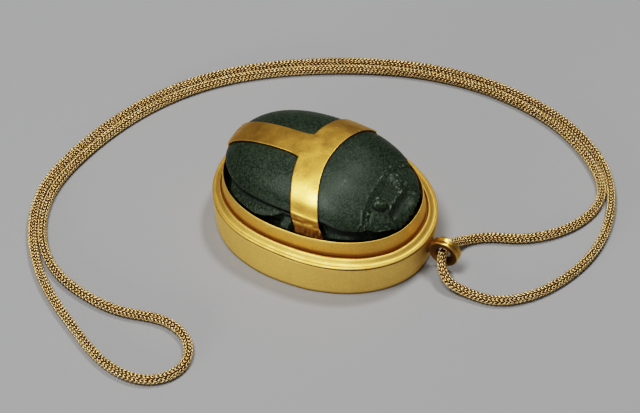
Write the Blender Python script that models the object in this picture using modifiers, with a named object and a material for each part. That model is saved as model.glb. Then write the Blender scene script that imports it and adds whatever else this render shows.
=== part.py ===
"""Carved stone scarab in a gold setting, hung on a doubled gold chain, lying on its flat base.

Metres, +Z up. +X points to the beetle's head and the hanging ring. The origin is the middle of
the setting's oval, on the underside.
"""
import math

import bmesh
import bpy
import numpy as np

MM = 0.001
COLLECTION = "scarab_amulet"

# Stone: the domed back of the beetle above its foot line, and the slab below it
STONE_BACK = 29.75 * MM
STONE_FRONT = 29.3 * MM
STONE_HALF_WIDTH = 20.6 * MM
DOME_HEIGHT = 11.9 * MM
DOME_PLAN_FULLNESS = 2.37
DOME_RISE_FULLNESS = 2.6
NOSE_DROP_START = 9.5 * MM
NOSE_DROP = 0.56
NOSE_DROP_POWER = 1.15

# Carving, in the stone's own plan, measured forward from its widest line. An edge share is how
# far out the carved edge lies from the crown, and its turn is where that share starts and is
# reached, as the cosine of the angle round the stone.
SIDE_EDGE_SHARE = 0.89
TAIL_EDGE_SHARE = 0.94
NOSE_EDGE_SHARE = 0.965
TAIL_EDGE_TURN = (0.1, 0.6)
NOSE_EDGE_TURN = (0.5, 0.9)
EDGE_UNDERCUT = 1.1 * MM
EDGE_DROP = 0.35 * MM
THORAX_FRONT = 17.5 * MM
THORAX_BOW = 2.9 * MM
HEAD_STEP = 1.0 * MM
EYE_FORWARD = 20.9 * MM
EYE_APART = 10.0 * MM
EYE_LENGTH = 3.8 * MM
EYE_WIDTH = 3.4 * MM
EYE_HEIGHT = 1.0 * MM
CHEEK_LINE_START = (23.0 * MM, 4.2 * MM)
CHEEK_LINE_END = (28.2 * MM, 7.4 * MM)
CHEEK_LINE_WIDTH = 0.7 * MM
CHEEK_LINE_DEPTH = 0.6 * MM
TOOTH_COUNT = 6
TOOTH_BAND = 15.0 * MM
TOOTH_LENGTH = 0.5 * MM
HIND_LEG = (-27.5 * MM, -3.5 * MM)
FORE_LEG = (12.0 * MM, 20.0 * MM)
LEG_END_RUN = 4.0 * MM
LEG_THICKNESS = 0.9 * MM
LEG_LEVEL = 0.45
LEG_HALF_BREADTH = 0.3

# Setting: side band, stepped collar and the rim that holds the stone. The rim's gaps are taken
# from the dome's foot line: at the tail the rim lies inside that line.
RIM_COVER = 0.9 * MM
RIM_GAP_TAIL = -0.7 * MM
RIM_GAP_NOSE = 0.4 * MM
RIM_GAP_SIDE = 1.45 * MM
RIM_THICKNESS = 0.6 * MM
RIM_LEAN_NOSE = 0.8 * MM
RIM_HEIGHT = 5.7 * MM
LEDGE_TAIL = 3.4 * MM
LEDGE_NOSE = 4.85 * MM
LEDGE_SIDE = 5.05 * MM
LEDGE_EDGE = 0.55 * MM
LEDGE_LIP = 0.3 * MM
LEDGE_SHARE = 0.38
COVE_SHARE = 0.56
BEAD_SHARES = (0.72, 0.88)
BEAD_HEIGHT = 0.5 * MM
GROOVE_RISE = 0.95 * MM
BAND_HEIGHT = 11.1 * MM
BAND_THICKNESS = 0.9 * MM
BAND_FLARE = 0.6 * MM
BASE_LIP_WIDTH = 2.0 * MM
BASE_LIP_THICKNESS = 0.6 * MM
SETTING_FULLNESS = 2.11
RIM_FULLNESS = 2.22
SETTING_TAPER = 0.07

# Gaps between pieces that touch
SEAM = 0.15 * MM
STONE_CLEARANCE = 0.3 * MM
FOOT_CLEARANCE = 1.1 * MM
STRAP_CLEARANCE = 0.3 * MM

# Strap: a T of sheet gold over the dome
STRAP_THICKNESS = 0.5 * MM
CROSS_WIDTH = 8.4 * MM
CROSS_FORWARD = -1.4 * MM
CROSS_BOW = 6.6 * MM
LENGTH_WIDTH = 8.3 * MM
CORNER_FLARE = 0.8 * MM
CORNER_FLARE_RUN = 1.6 * MM
STRAP_SINK = 0.6 * MM
STRAP_END_SHIFT = 2.4 * MM
STRAP_PAST_EDGE = 0.01

# Hanging ring
RING_RADIUS = 4.5 * MM
RING_HOLE_RADIUS = 3.1 * MM
RING_WIDTH = 3.0 * MM
RING_GROOVE = 0.35 * MM
RING_BEVEL = 0.5 * MM
RING_MOUTH_SHARE = 0.72
RING_RIDGE_SHARE = 0.55
RING_STAND_OFF = 0.35 * MM
RING_CENTRE_HEIGHT = 7.4 * MM
RING_FOOT_RADIUS = 1.5 * MM
RING_FOOT_SINK = 0.7 * MM

# Chain
CHAIN_DIAMETER = 2.9 * MM
STRAND_SPACING = 3.1 * MM
CHAIN_END_GAP = 0.3 * MM
CHAIN_LIFT = 0.05 * MM

# Facets
STONE_SIDES = 80
STONE_NOSE_CROWDING = 0.45
DOME_RINGS = 19
RECESS_RINGS = 4
SETTING_SIDES = 60
STRAP_COLUMNS = 4
CROSS_ROWS = 9
STRAP_END_ROWS = 2
LENGTH_ROWS = 9
RING_SIDES = 36
FOOT_SIDES = 12
SMOOTH_ANGLE = math.radians(35)
ROUTE_SAMPLES = 4000
SPACING_AT_BEND = 0.84
SPACING_LIMITS = (1.35, 4.6)

# The chain's route on the ground, in millimetres, chosen by hand. A third number is a height.
FROM_RING = [
    (37.8, 0.15, 6.45), (38.0, 4.6, 5.2), (39.7, 10.4, 2.2), (44.6, 15.0), (52.5, 18.7),
    (60.4, 24.6), (65.9, 32.3), (68.2, 39.6),
]
DOUBLED_RUN = [
    (69.3, 46.2), (61.4, 57.4), (50.5, 64.9), (33.5, 70.3), (15.8, 71.2), (-3.0, 67.8),
    (-24.0, 59.0), (-43.0, 47.3), (-58.5, 33.1), (-70.8, 13.0), (-77.4, -10.5), (-77.8, -29.5),
    (-67.8, -49.2),
]
FAR_LOOP = [
    (-58.2, -54.3), (-46.5, -57.6), (-33.5, -57.6), (-22.5, -55.2), (-13.2, -58.2),
    (-9.6, -66.0), (-14.5, -74.2), (-25.5, -76.2), (-42.4, -69.6), (-59.4, -59.3),
]
BACK_TO_RING = [
    (73.6, 38.2), (74.5, 25.0), (70.9, 11.2), (63.7, -0.2), (55.9, -5.4), (48.4, -6.4, 1.8),
    (42.9, -6.3, 3.2), (39.4, -4.0, 5.0), (37.8, -0.15, 6.6),
]

# Places that follow from the sizes above
SETTING_LENGTH = (LEDGE_TAIL + RIM_GAP_TAIL + STONE_BACK + STONE_FRONT
                  + RIM_GAP_NOSE + LEDGE_NOSE)
RIM_TAIL = -SETTING_LENGTH / 2 + LEDGE_TAIL
RIM_NOSE = SETTING_LENGTH / 2 - LEDGE_NOSE
RIM_HALF_WIDTH = STONE_HALF_WIDTH + RIM_GAP_SIDE
WAIST_X = RIM_TAIL + RIM_GAP_TAIL + STONE_BACK
COLLAR_BOTTOM = BAND_HEIGHT + SEAM
RIM_TOP = COLLAR_BOTTOM + GROOVE_RISE + RIM_HEIGHT
DOME_FOOT = RIM_TOP - RIM_COVER
STRAP_FOOT = RIM_TOP - STRAP_SINK
RING_X = SETTING_LENGTH / 2 + RING_STAND_OFF + RING_RADIUS


def oval(angle, tail, nose, half_width, fullness, taper=0.0):
    """A point of an oval that reaches from tail to nose and narrows towards the nose."""
    c, s = math.cos(angle), math.sin(angle)
    along = math.copysign(abs(c) ** (2 / fullness), c)
    across = math.copysign(abs(s) ** (2 / fullness), s)
    x = (tail + nose) / 2 + (nose - tail) / 2 * along
    return x, half_width * across * (1 - taper * along)


def band_oval(angle, inset):
    """The setting's outer oval at the top of the side band, moved in by an inset."""
    half = SETTING_LENGTH / 2 - inset
    side = RIM_HALF_WIDTH + LEDGE_SIDE - inset
    return oval(angle, -half, half, side, SETTING_FULLNESS, SETTING_TAPER)


def rim_oval(angle, out, lean=0.0):
    """The rim's inner oval, moved out. The lean widens it further at the head end."""
    return oval(angle, RIM_TAIL - out, RIM_NOSE + out + lean, RIM_HALF_WIDTH + out,
                RIM_FULLNESS, SETTING_TAPER)


def smooth(value, start=0.0, end=1.0):
    """0 up to the start, 1 from the end and an even S between."""
    value = min(max((value - start) / (end - start), 0.0), 1.0)
    return value * value * (3 - 2 * value)


def reach(forward, grow=0.0):
    """How far the dome goes from its widest line, to the head end or to the tail end."""
    return (STONE_FRONT if forward > 0 else STONE_BACK) + grow


def nose_fall(forward):
    """The share of the dome's height that is left towards the head."""
    run = max(forward - NOSE_DROP_START, 0.0) / (STONE_FRONT - NOSE_DROP_START)
    return 1 - NOSE_DROP * run ** NOSE_DROP_POWER


def plan_share(forward, y, grow=0.0):
    """0 on the crown and 1 on the dome's foot line."""
    ends = abs(forward / reach(forward, grow)) ** DOME_PLAN_FULLNESS
    sides = abs(y / (STONE_HALF_WIDTH + grow)) ** DOME_PLAN_FULLNESS
    return min(ends + sides, 1.0) ** (1 / DOME_PLAN_FULLNESS)


def dome_height(forward, y, grow=0.0):
    """The uncarved dome's height above the ground, over a point of its plan."""
    share = plan_share(forward, y, grow)
    rise = (1 - share ** DOME_RISE_FULLNESS) ** (1 / DOME_RISE_FULLNESS)
    return DOME_FOOT + (DOME_HEIGHT + grow) * nose_fall(forward) * rise


def eye_relief(forward, y):
    along = (forward - EYE_FORWARD) / (EYE_LENGTH / 2)
    across = (abs(y) - EYE_APART / 2) / (EYE_WIDTH / 2)
    return EYE_HEIGHT * math.sqrt(max(1 - along ** 2 - across ** 2, 0.0))


def cheek_line(forward, y):
    """The incised line between the forehead's fan and a cheek."""
    start, end = np.array(CHEEK_LINE_START), np.array(CHEEK_LINE_END)
    point = np.array((forward, abs(y)))
    share = np.clip(np.dot(point - start, end - start) / np.dot(end - start, end - start), 0, 1)
    away = np.linalg.norm(point - start - share * (end - start))
    return -CHEEK_LINE_DEPTH * math.exp(-(away / CHEEK_LINE_WIDTH) ** 2)


def head_relief(forward, y):
    """What carving adds to or takes from the dome in front of the thorax."""
    edge = THORAX_FRONT + THORAX_BOW * (y / STONE_HALF_WIDTH) ** 2
    on_head = smooth((forward - edge) / HEAD_STEP)
    return on_head * (-HEAD_STEP + eye_relief(forward, y) + cheek_line(forward, y))


def edge_share(angle):
    """Where the wing cases, the thorax and the head end, as a share of the plan."""
    nose = smooth(math.cos(angle), *NOSE_EDGE_TURN)
    tail = smooth(-math.cos(angle), *TAIL_EDGE_TURN)
    share = (SIDE_EDGE_SHARE + (NOSE_EDGE_SHARE - SIDE_EDGE_SHARE) * nose
             + (TAIL_EDGE_SHARE - SIDE_EDGE_SHARE) * tail)
    y = STONE_HALF_WIDTH * math.sin(angle)
    if abs(y) < TOOTH_BAND / 2 and math.cos(angle) > 0:
        share += TOOTH_LENGTH / STONE_FRONT * abs(math.cos(math.pi * TOOTH_COUNT * y / TOOTH_BAND))
    return share


def leg_relief(forward, level):
    """The hind and fore legs folded along the side, between the edge above and the rim below."""
    length = sum(smooth(forward - start, end=LEG_END_RUN) * smooth(end - forward, end=LEG_END_RUN)
                 for start, end in (HIND_LEG, FORE_LEG))
    breadth = 1 - ((level - LEG_LEVEL) / LEG_HALF_BREADTH) ** 2
    return LEG_THICKNESS * max(breadth, 0.0) * length


def stone_plan(angle, share):
    """A point of the stone's plan at a share of the way from the crown to the foot line."""
    forward, y = oval(angle, -1.0, 1.0, 1.0, DOME_PLAN_FULLNESS)
    return forward * reach(forward) * share, y * STONE_HALF_WIDTH * share


def dome_point(angle, turn):
    """A point of the carved dome: turn 0 is the crown and turn 1 the edge above the legs."""
    edge = math.asin(edge_share(angle) ** (DOME_RISE_FULLNESS / 2))
    share = math.sin(turn * edge) ** (2 / DOME_RISE_FULLNESS)
    forward, y = stone_plan(angle, share)
    return WAIST_X + forward, y, dome_height(forward, y) + head_relief(forward, y)


def recess_point(angle, level):
    """A point of the sunk side below the edge: level 0 is the top and level 1 the foot line."""
    top_z = dome_point(angle, 1.0)[2]
    foot_x, foot_y = rim_oval(angle, -FOOT_CLEARANCE)
    start = edge_share(angle) - EDGE_UNDERCUT / STONE_HALF_WIDTH
    start_x, start_y = stone_plan(angle, start)
    bulge = 1 + leg_relief(start_x, level) / STONE_HALF_WIDTH
    x = WAIST_X + start_x * bulge + (foot_x - WAIST_X - start_x * bulge) * level
    y = start_y * bulge + (foot_y - start_y * bulge) * level
    return x, y, top_z - EDGE_DROP + (DOME_FOOT - top_z + EDGE_DROP) * level


def slab_point(angle, height, inset):
    """A point of the slab inside the side band, which leans out as the band does."""
    lean = BAND_FLARE * (1 - height / BAND_HEIGHT)
    return (*band_oval(angle, BAND_THICKNESS + STONE_CLEARANCE + lean + inset), height)


def stone_stations():
    """The stone's rings from the crown to the middle of the base, each a function of an angle."""
    neck_foot = COLLAR_BOTTOM - STONE_CLEARANCE
    lip_top = BASE_LIP_THICKNESS + STONE_CLEARANCE
    lip_inset = BASE_LIP_WIDTH - BAND_THICKNESS
    stations = [lambda a, i=i: dome_point(a, i / DOME_RINGS) for i in range(DOME_RINGS + 1)]
    stations += [lambda a, i=i: recess_point(a, i / RECESS_RINGS)
                 for i in range(RECESS_RINGS + 1)]
    stations.append(lambda a: (*recess_point(a, 1.0)[:2], neck_foot))
    stations.append(lambda a: slab_point(a, neck_foot, 0.0))
    stations.append(lambda a: slab_point(a, lip_top, 0.0))
    stations.append(lambda a: slab_point(a, lip_top, lip_inset))
    stations.append(lambda a: slab_point(a, 0.0, lip_inset))
    stations.append(lambda a: (0.0, 0.0, 0.0))
    return stations


def finish(obj, material, collection):
    """Give a new object its material, smooth its round sides and file it."""
    obj.data.materials.clear()
    obj.data.materials.append(material)
    if obj.type == "MESH":
        obj.data.shade_smooth()
        obj.data.set_sharp_from_angle(angle=SMOOTH_ANGLE)
    for old in list(obj.users_collection):
        old.objects.unlink(obj)
    collection.objects.link(obj)
    return obj


def object_from(bm, name):
    bmesh.ops.recalc_face_normals(bm, faces=bm.faces)
    mesh = bpy.data.meshes.new(name)
    bm.to_mesh(mesh)
    bm.free()
    obj = bpy.data.objects.new(name, mesh)
    bpy.context.scene.collection.objects.link(obj)
    return obj


def make_stone():
    """A ball whose rings are moved onto the stone's stations, closer together at the head."""
    stations = stone_stations()
    rings = len(stations) - 1
    bm = bmesh.new()
    bmesh.ops.create_uvsphere(bm, u_segments=STONE_SIDES, v_segments=rings, radius=1.0)
    for vert in bm.verts:
        ring = round(math.acos(max(-1.0, min(1.0, vert.co.z))) / math.pi * rings)
        turn = math.atan2(vert.co.y, vert.co.x)
        vert.co = stations[ring](turn - STONE_NOSE_CROWDING * math.sin(turn))
    return object_from(bm, "stone_scarab")


def make_oval_ring(name, section):
    """A closed section carried round the setting. The section gives its points at an angle."""
    bm = bmesh.new()
    loops = []
    for side in range(SETTING_SIDES):
        angle = 2 * math.pi * side / SETTING_SIDES
        loops.append([bm.verts.new(point) for point in section(angle)])
    for side, loop in enumerate(loops):
        following = loops[(side + 1) % SETTING_SIDES]
        for i in range(len(loop)):
            j = (i + 1) % len(loop)
            bm.faces.new((loop[i], loop[j], following[j], following[i]))
    return object_from(bm, name)


def band_section(angle):
    """The side band, with a lip turned in under the stone's slab."""
    lip = BAND_FLARE + BASE_LIP_WIDTH
    lip_lean = BAND_FLARE * (1 - BASE_LIP_THICKNESS / BAND_HEIGHT)
    return [
        (*band_oval(angle, 0.0), BAND_HEIGHT),
        (*band_oval(angle, BAND_FLARE), 0.0),
        (*band_oval(angle, lip), 0.0),
        (*band_oval(angle, lip), BASE_LIP_THICKNESS),
        (*band_oval(angle, lip_lean + BAND_THICKNESS), BASE_LIP_THICKNESS),
        (*band_oval(angle, BAND_THICKNESS), BAND_HEIGHT),
    ]


def collar_section(angle):
    """The ledge with its lip, cove and bead, then the groove, then the rim round the stone."""
    outer = np.array(band_oval(angle, 0.0))
    foot = np.array(rim_oval(angle, RIM_THICKNESS, RIM_LEAN_NOSE))
    lip = np.array(band_oval(angle, LEDGE_LIP))

    def ledge(share, rise):
        return (*(outer + (foot - outer) * share), COLLAR_BOTTOM + rise)

    return [
        (*outer, COLLAR_BOTTOM),
        (*outer, COLLAR_BOTTOM + LEDGE_EDGE - LEDGE_LIP / 2),
        (*lip, COLLAR_BOTTOM + LEDGE_EDGE),
        ledge(LEDGE_SHARE, LEDGE_EDGE),
        ledge(COVE_SHARE, GROOVE_RISE),
        ledge(BEAD_SHARES[0], GROOVE_RISE + BEAD_HEIGHT),
        ledge(BEAD_SHARES[1], GROOVE_RISE + BEAD_HEIGHT),
        ledge(1.0, GROOVE_RISE),
        (*rim_oval(angle, RIM_THICKNESS), RIM_TOP - RIM_THICKNESS / 2),
        (*rim_oval(angle, RIM_THICKNESS / 3), RIM_TOP),
        (*rim_oval(angle, 0.0), RIM_TOP - RIM_THICKNESS / 3),
        (*rim_oval(angle, 0.0), COLLAR_BOTTOM),
    ]


def strap_place(forward, y, drop):
    """A point under the strap: on the dome, or past the edge, down behind the rim."""
    x, z = WAIST_X + forward, dome_height(forward, y, STRAP_CLEARANCE)
    power = RIM_FULLNESS / 2
    angle = math.atan2(math.copysign(abs(y / STONE_HALF_WIDTH) ** power, y),
                       math.copysign(abs(forward / reach(forward)) ** power, forward))
    foot_x, foot_y = rim_oval(angle, STRAP_CLEARANCE - FOOT_CLEARANCE)
    along, across = (foot_x, y) if abs(y) < LENGTH_WIDTH else (x + STRAP_END_SHIFT, foot_y)
    return x + (along - x) * drop, y + (across - y) * drop, z + (STRAP_FOOT - z) * drop


def strap_run(start, end, rows):
    """Shares of the dome's plan from a start to just past the wing cases' edge, evenly spaced."""
    power = DOME_RISE_FULLNESS / 2
    first, last = math.asin(start ** power), math.asin((end + STRAP_PAST_EDGE) ** power)
    turns = [first + (last - first) * i / rows for i in range(1, rows + 1)]
    return [math.sin(turn) ** (1 / power) for turn in turns]


def local_half(value, limit):
    """The dome's remaining half size at a place along its other axis, as a share."""
    return (1 - abs(value / limit) ** DOME_PLAN_FULLNESS) ** (1 / DOME_PLAN_FULLNESS)


def make_strap():
    """A T-shaped sheet laid over the dome, thickened outwards."""
    bm = bmesh.new()
    drops = [i / STRAP_END_ROWS for i in range(1, STRAP_END_ROWS + 1)]
    join_half = LENGTH_WIDTH / 2 + CORNER_FLARE
    join_share = join_half / STONE_HALF_WIDTH
    run = [(share, 0.0) for share in strap_run(join_share, SIDE_EDGE_SHARE, CROSS_ROWS)]
    run += [(run[-1][0], drop) for drop in drops]
    half_columns = STRAP_COLUMNS // 2
    middle = [(join_share * i / half_columns, 0.0) for i in range(-half_columns, half_columns + 1)]
    rows = [(-share, drop) for share, drop in reversed(run)] + middle + run

    def cross_vert(share, drop, column):
        centre = CROSS_FORWARD + CROSS_BOW * share ** 2
        forward = centre + CROSS_WIDTH * (column / STRAP_COLUMNS - 0.5)
        half = STONE_HALF_WIDTH * local_half(forward, reach(forward))
        return bm.verts.new(strap_place(forward, share * half, drop))

    def join(lines):
        for line, following in zip(lines, lines[1:]):
            for i in range(len(line) - 1):
                bm.faces.new((line[i], line[i + 1], following[i + 1], following[i]))

    grid = [[cross_vert(share, drop, column) for column in range(STRAP_COLUMNS + 1)]
            for share, drop in rows]
    join(grid)
    arms = []
    for row in grid[len(run):len(run) + len(middle)]:
        start, side = row[0].co.x - WAIST_X, row[0].co.y
        tail_reach = STONE_BACK * local_half(side, STONE_HALF_WIDTH)
        shares = strap_run(-start / tail_reach, TAIL_EDGE_SHARE, LENGTH_ROWS)
        places = [(share, 0.0) for share in shares] + [(shares[-1], drop) for drop in drops]
        arm = [row[0]]
        for share, drop in places:
            forward = -share * tail_reach
            flare = CORNER_FLARE * math.exp((forward - start) / CORNER_FLARE_RUN)
            y = side * (LENGTH_WIDTH / 2 + flare) / join_half
            arm.append(bm.verts.new(strap_place(forward, y, drop)))
        arms.append(arm[::-1])
    join(arms)
    obj = object_from(bm, "gold_strap")
    up = sum(face.normal.z for face in obj.data.polygons)
    shell = obj.modifiers.new("sheet", "SOLIDIFY")
    shell.thickness = STRAP_THICKNESS
    shell.offset = math.copysign(1.0, up)
    return obj


def make_ring(collection):
    """A turned ring with two ridges, standing on a short foot soldered to the side band."""
    half = RING_WIDTH / 2
    upper = [
        (RING_HOLE_RADIUS, half * RING_MOUTH_SHARE), (RING_HOLE_RADIUS + RING_BEVEL, half),
        (RING_RADIUS - RING_GROOVE, half), (RING_RADIUS, half * RING_RIDGE_SHARE),
    ]
    lower = [(radius, -height) for radius, height in reversed(upper)]
    outline = upper + [(RING_RADIUS - RING_GROOVE, 0.0)] + lower
    mesh = bpy.data.meshes.new("hanging_ring")
    edges = [(i, (i + 1) % len(outline)) for i in range(len(outline))]
    mesh.from_pydata([(r, 0.0, z) for r, z in outline], edges, [])
    ring = bpy.data.objects.new("hanging_ring", mesh)
    collection.objects.link(ring)
    ring.rotation_euler = (math.pi / 2, 0.0, 0.0)
    ring.location = (RING_X, 0.0, RING_CENTRE_HEIGHT)
    turned = ring.modifiers.new("turned", "SCREW")
    turned.steps = turned.render_steps = RING_SIDES
    turned.use_merge_vertices = True
    turned.merge_threshold = 0.00001
    turned.use_normal_calculate = True

    foot_start = SETTING_LENGTH / 2 + SEAM
    foot_end = RING_X - RING_RADIUS + RING_FOOT_SINK
    bpy.ops.mesh.primitive_cylinder_add(vertices=FOOT_SIDES, radius=RING_FOOT_RADIUS,
                                        depth=foot_end - foot_start)
    foot = bpy.context.active_object
    foot.name = "ring_foot"
    foot.rotation_euler = (0.0, math.pi / 2, 0.0)
    foot.location = ((foot_start + foot_end) / 2, 0.0, RING_CENTRE_HEIGHT)
    foot.hide_render = True
    foot.display_type = "WIRE"
    joined = ring.modifiers.new("foot", "BOOLEAN")
    joined.operation = "UNION"
    joined.object = foot
    return ring, foot


def spline(points):
    """A natural cubic curve through the points, as lengths along it and a function."""
    points = np.array(points)
    knots = np.concatenate([[0.0], np.cumsum(np.linalg.norm(np.diff(points, axis=0), axis=1))])
    step = np.diff(knots)
    count = len(points)
    system = np.eye(count)
    right = np.zeros_like(points)
    for i in range(1, count - 1):
        system[i, i - 1:i + 2] = step[i - 1], 2 * (step[i - 1] + step[i]), step[i]
        right[i] = 6 * ((points[i + 1] - points[i]) / step[i]
                        - (points[i] - points[i - 1]) / step[i - 1])
    bend = np.linalg.solve(system, right)

    def at(places):
        i = np.clip(np.searchsorted(knots, places) - 1, 0, count - 2)
        h = step[i][:, None]
        u = ((places - knots[i]) / step[i])[:, None]
        v = 1 - u
        return (v * points[i] + u * points[i + 1]
                + h * h / 6 * ((v ** 3 - v) * bend[i] + (u ** 3 - u) * bend[i + 1]))

    return knots, at


def chain_route():
    """The route's points in metres: out of the ring, twice along the doubled run, and back."""
    ground = CHAIN_DIAMETER / 2 / MM + CHAIN_LIFT / MM

    def lay(points):
        return [np.array(p if len(p) == 3 else (*p, ground)) * MM for p in points]

    middle = np.array(lay(DOUBLED_RUN))
    along = np.gradient(middle, axis=0)
    along /= np.linalg.norm(along, axis=1)[:, None]
    inward = np.stack([-along[:, 1], along[:, 0], 0 * along[:, 0]], axis=1) * STRAND_SPACING / 2
    inner = list(middle + inward)
    outer = list(middle - inward)[::-1]
    route = lay(FROM_RING) + inner + lay(FAR_LOOP) + outer + lay(BACK_TO_RING)
    route[0][1] = CHAIN_END_GAP / 2
    route[-1][1] = -CHAIN_END_GAP / 2
    return route


def chain_points():
    """Points of the smooth route, closer together where it bends more."""
    knots, at = spline(chain_route())
    fine = np.linspace(0.0, knots[-1], ROUTE_SAMPLES)
    curve = at(fine)
    heading = np.gradient(curve, axis=0)
    heading /= np.linalg.norm(heading, axis=1)[:, None]
    bend = np.linalg.norm(np.gradient(heading, axis=0), axis=1) / (fine[1] - fine[0])
    wanted = SPACING_AT_BEND / np.sqrt(bend * CHAIN_DIAMETER + 1e-6)
    density = 1 / (CHAIN_DIAMETER * np.clip(wanted, *SPACING_LIMITS))
    climb = np.concatenate([[0.0], np.cumsum((density[1:] + density[:-1]) / 2 * np.diff(fine))])
    places = np.interp(np.linspace(0.0, climb[-1], round(climb[-1]) + 1), climb, fine)
    return at(places)


def make_chain(collection):
    points = chain_points()
    curve = bpy.data.curves.new("gold_chain", "CURVE")
    curve.dimensions = "3D"
    curve.bevel_depth = CHAIN_DIAMETER / 2
    curve.bevel_resolution = 2
    curve.use_fill_caps = True
    line = curve.splines.new("POLY")
    line.points.add(len(points) - 1)
    for point, place in zip(line.points, points):
        point.co = (*place, 1.0)
    chain = bpy.data.objects.new("gold_chain", curve)
    collection.objects.link(chain)
    return chain


def new_material(name, colour, roughness, metallic):
    material = bpy.data.materials.new(name)
    material.use_nodes = True
    shader = material.node_tree.nodes["Principled BSDF"]
    shader.inputs["Base Color"].default_value = (*colour, 1.0)
    shader.inputs["Roughness"].default_value = roughness
    shader.inputs["Metallic"].default_value = metallic
    return material


def main():
    for obj in list(bpy.data.objects):
        bpy.data.objects.remove(obj, do_unlink=True)
    parts = bpy.data.collections.new(COLLECTION)
    cutters = bpy.data.collections.new("cutters")
    bpy.context.scene.collection.children.link(parts)
    bpy.context.scene.collection.children.link(cutters)

    stone = new_material("green_stone", (0.035, 0.05, 0.04), 0.38, 0.0)
    gold = new_material("satin_gold", (0.83, 0.56, 0.17), 0.32, 1.0)
    old_gold = new_material("chain_gold", (0.66, 0.45, 0.18), 0.36, 1.0)

    finish(make_stone(), stone, parts)
    finish(make_oval_ring("side_band", band_section), gold, parts)
    finish(make_oval_ring("stepped_collar", collar_section), gold, parts)
    finish(make_strap(), gold, parts)
    ring, foot = make_ring(parts)
    finish(ring, gold, parts)
    finish(foot, gold, cutters)
    finish(make_chain(parts), old_gold, parts)


main()
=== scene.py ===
# %% [markdown]
# # A stone scarab in a gold setting
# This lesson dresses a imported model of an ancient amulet: a beetle carved in dark green stone,
# held in a stepped gold setting by a T-shaped strap, on a long woven gold chain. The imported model
# is the fixed frame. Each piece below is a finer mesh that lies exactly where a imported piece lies,
# so every shape function works in millimetres in the frame's own axes: +X runs to the beetle's
# head, +Z is up, and the origin is the middle of the flat underside.

# %% Load the frame
import math
from functools import partialmethod

import bmesh
import bpy
import numpy as np
from mathutils import Matrix, Vector


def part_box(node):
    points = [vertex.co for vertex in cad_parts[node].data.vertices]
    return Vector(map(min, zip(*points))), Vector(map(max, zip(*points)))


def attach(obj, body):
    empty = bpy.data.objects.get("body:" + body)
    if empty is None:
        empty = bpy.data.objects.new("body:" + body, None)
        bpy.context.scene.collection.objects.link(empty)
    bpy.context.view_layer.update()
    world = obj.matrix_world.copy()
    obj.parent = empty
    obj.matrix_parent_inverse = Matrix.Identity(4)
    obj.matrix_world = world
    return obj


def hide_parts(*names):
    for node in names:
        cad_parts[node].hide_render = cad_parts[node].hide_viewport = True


MM = 0.001
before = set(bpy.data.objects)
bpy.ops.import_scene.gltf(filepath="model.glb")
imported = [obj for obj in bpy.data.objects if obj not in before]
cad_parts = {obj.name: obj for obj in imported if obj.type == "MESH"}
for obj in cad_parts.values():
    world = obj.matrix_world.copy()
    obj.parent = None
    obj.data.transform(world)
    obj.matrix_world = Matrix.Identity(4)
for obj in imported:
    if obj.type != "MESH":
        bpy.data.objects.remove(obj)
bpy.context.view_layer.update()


def new_object(name, data):
    """An object in the scene, around a mesh, a lamp or a camera."""
    made = bpy.data.objects.new(name, data)
    bpy.context.scene.collection.objects.link(made)
    return made


print("packed nodes:", ", ".join(sorted(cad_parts)))

# %% [markdown]
# ## Camera
# The photograph looks down on the amulet from one side, at about 48 degrees. A constraint could
# aim the camera, but a matrix of three directions is exact and easy to read: its columns are what
# the camera calls right, up and backwards.

# %% Place the camera
AZIMUTH, ELEVATION = math.radians(27.85), math.radians(48.45)
AIM = Vector((-4.14, 4.21, 0.0)) * MM
DISTANCE = 0.6
PHOTO_WIDTH = 640
FOCAL_PIXELS = 2032.23
SENSOR = 36.0

backwards = Vector((math.sin(AZIMUTH) * math.cos(ELEVATION),
                    -math.cos(AZIMUTH) * math.cos(ELEVATION), math.sin(ELEVATION)))
rightwards = Vector((math.cos(AZIMUTH), math.sin(AZIMUTH), 0.0))
upwards = backwards.cross(rightwards)
camera_data = bpy.data.cameras.new("camera")
camera_data.sensor_width = SENSOR
camera_data.lens = SENSOR * FOCAL_PIXELS / PHOTO_WIDTH
camera = new_object("camera", camera_data)
axes = Matrix((rightwards, upwards, backwards)).transposed()
camera.matrix_world = Matrix.Translation(AIM + backwards * DISTANCE) @ axes.to_4x4()
bpy.context.scene.camera = camera
print("camera:", round(camera_data.lens, 1), "mm lens at", [round(c, 3) for c in camera.location])

# %% [markdown]
# ## Helpers for meshes
# Most pieces here are tubes: closed rows of points, each joined to the next by a band of quads.
# With numpy a whole piece is worked out at once, which keeps fine carving quick to build.

# %% Soft steps, ovals and tubes
rng = np.random.default_rng(7)


def smooth(value, start=0.0, end=1.0):
    """0 up to the start, 1 from the end and an even S between."""
    value = np.clip((value - start) / (end - start), 0.0, 1.0)
    return value * value * (3 - 2 * value)


def bump(distance, width):
    """1 where the distance is nothing, and down to 0 within about two widths."""
    return np.exp(-(distance / width) ** 2)


def power(value, exponent):
    """A power that keeps the sign of its value."""
    return np.sign(value) * np.abs(value) ** exponent


def unit(vectors):
    """The same directions, each with a length of 1."""
    return vectors / np.linalg.norm(vectors, axis=-1, keepdims=True)


def full_turn(count):
    """Even angles round a whole circle."""
    return np.arange(count) / count * 2 * math.pi


def oval(angle, tail, nose, half_width, fullness, taper=0.0):
    """Points of an oval that reaches from tail to nose and narrows towards the nose."""
    along = power(np.cos(angle), 2 / fullness)
    across = power(np.sin(angle), 2 / fullness)
    x = (tail + nose) / 2 + (nose - tail) / 2 * along
    return x, half_width * across * (1 - taper * along)


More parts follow.
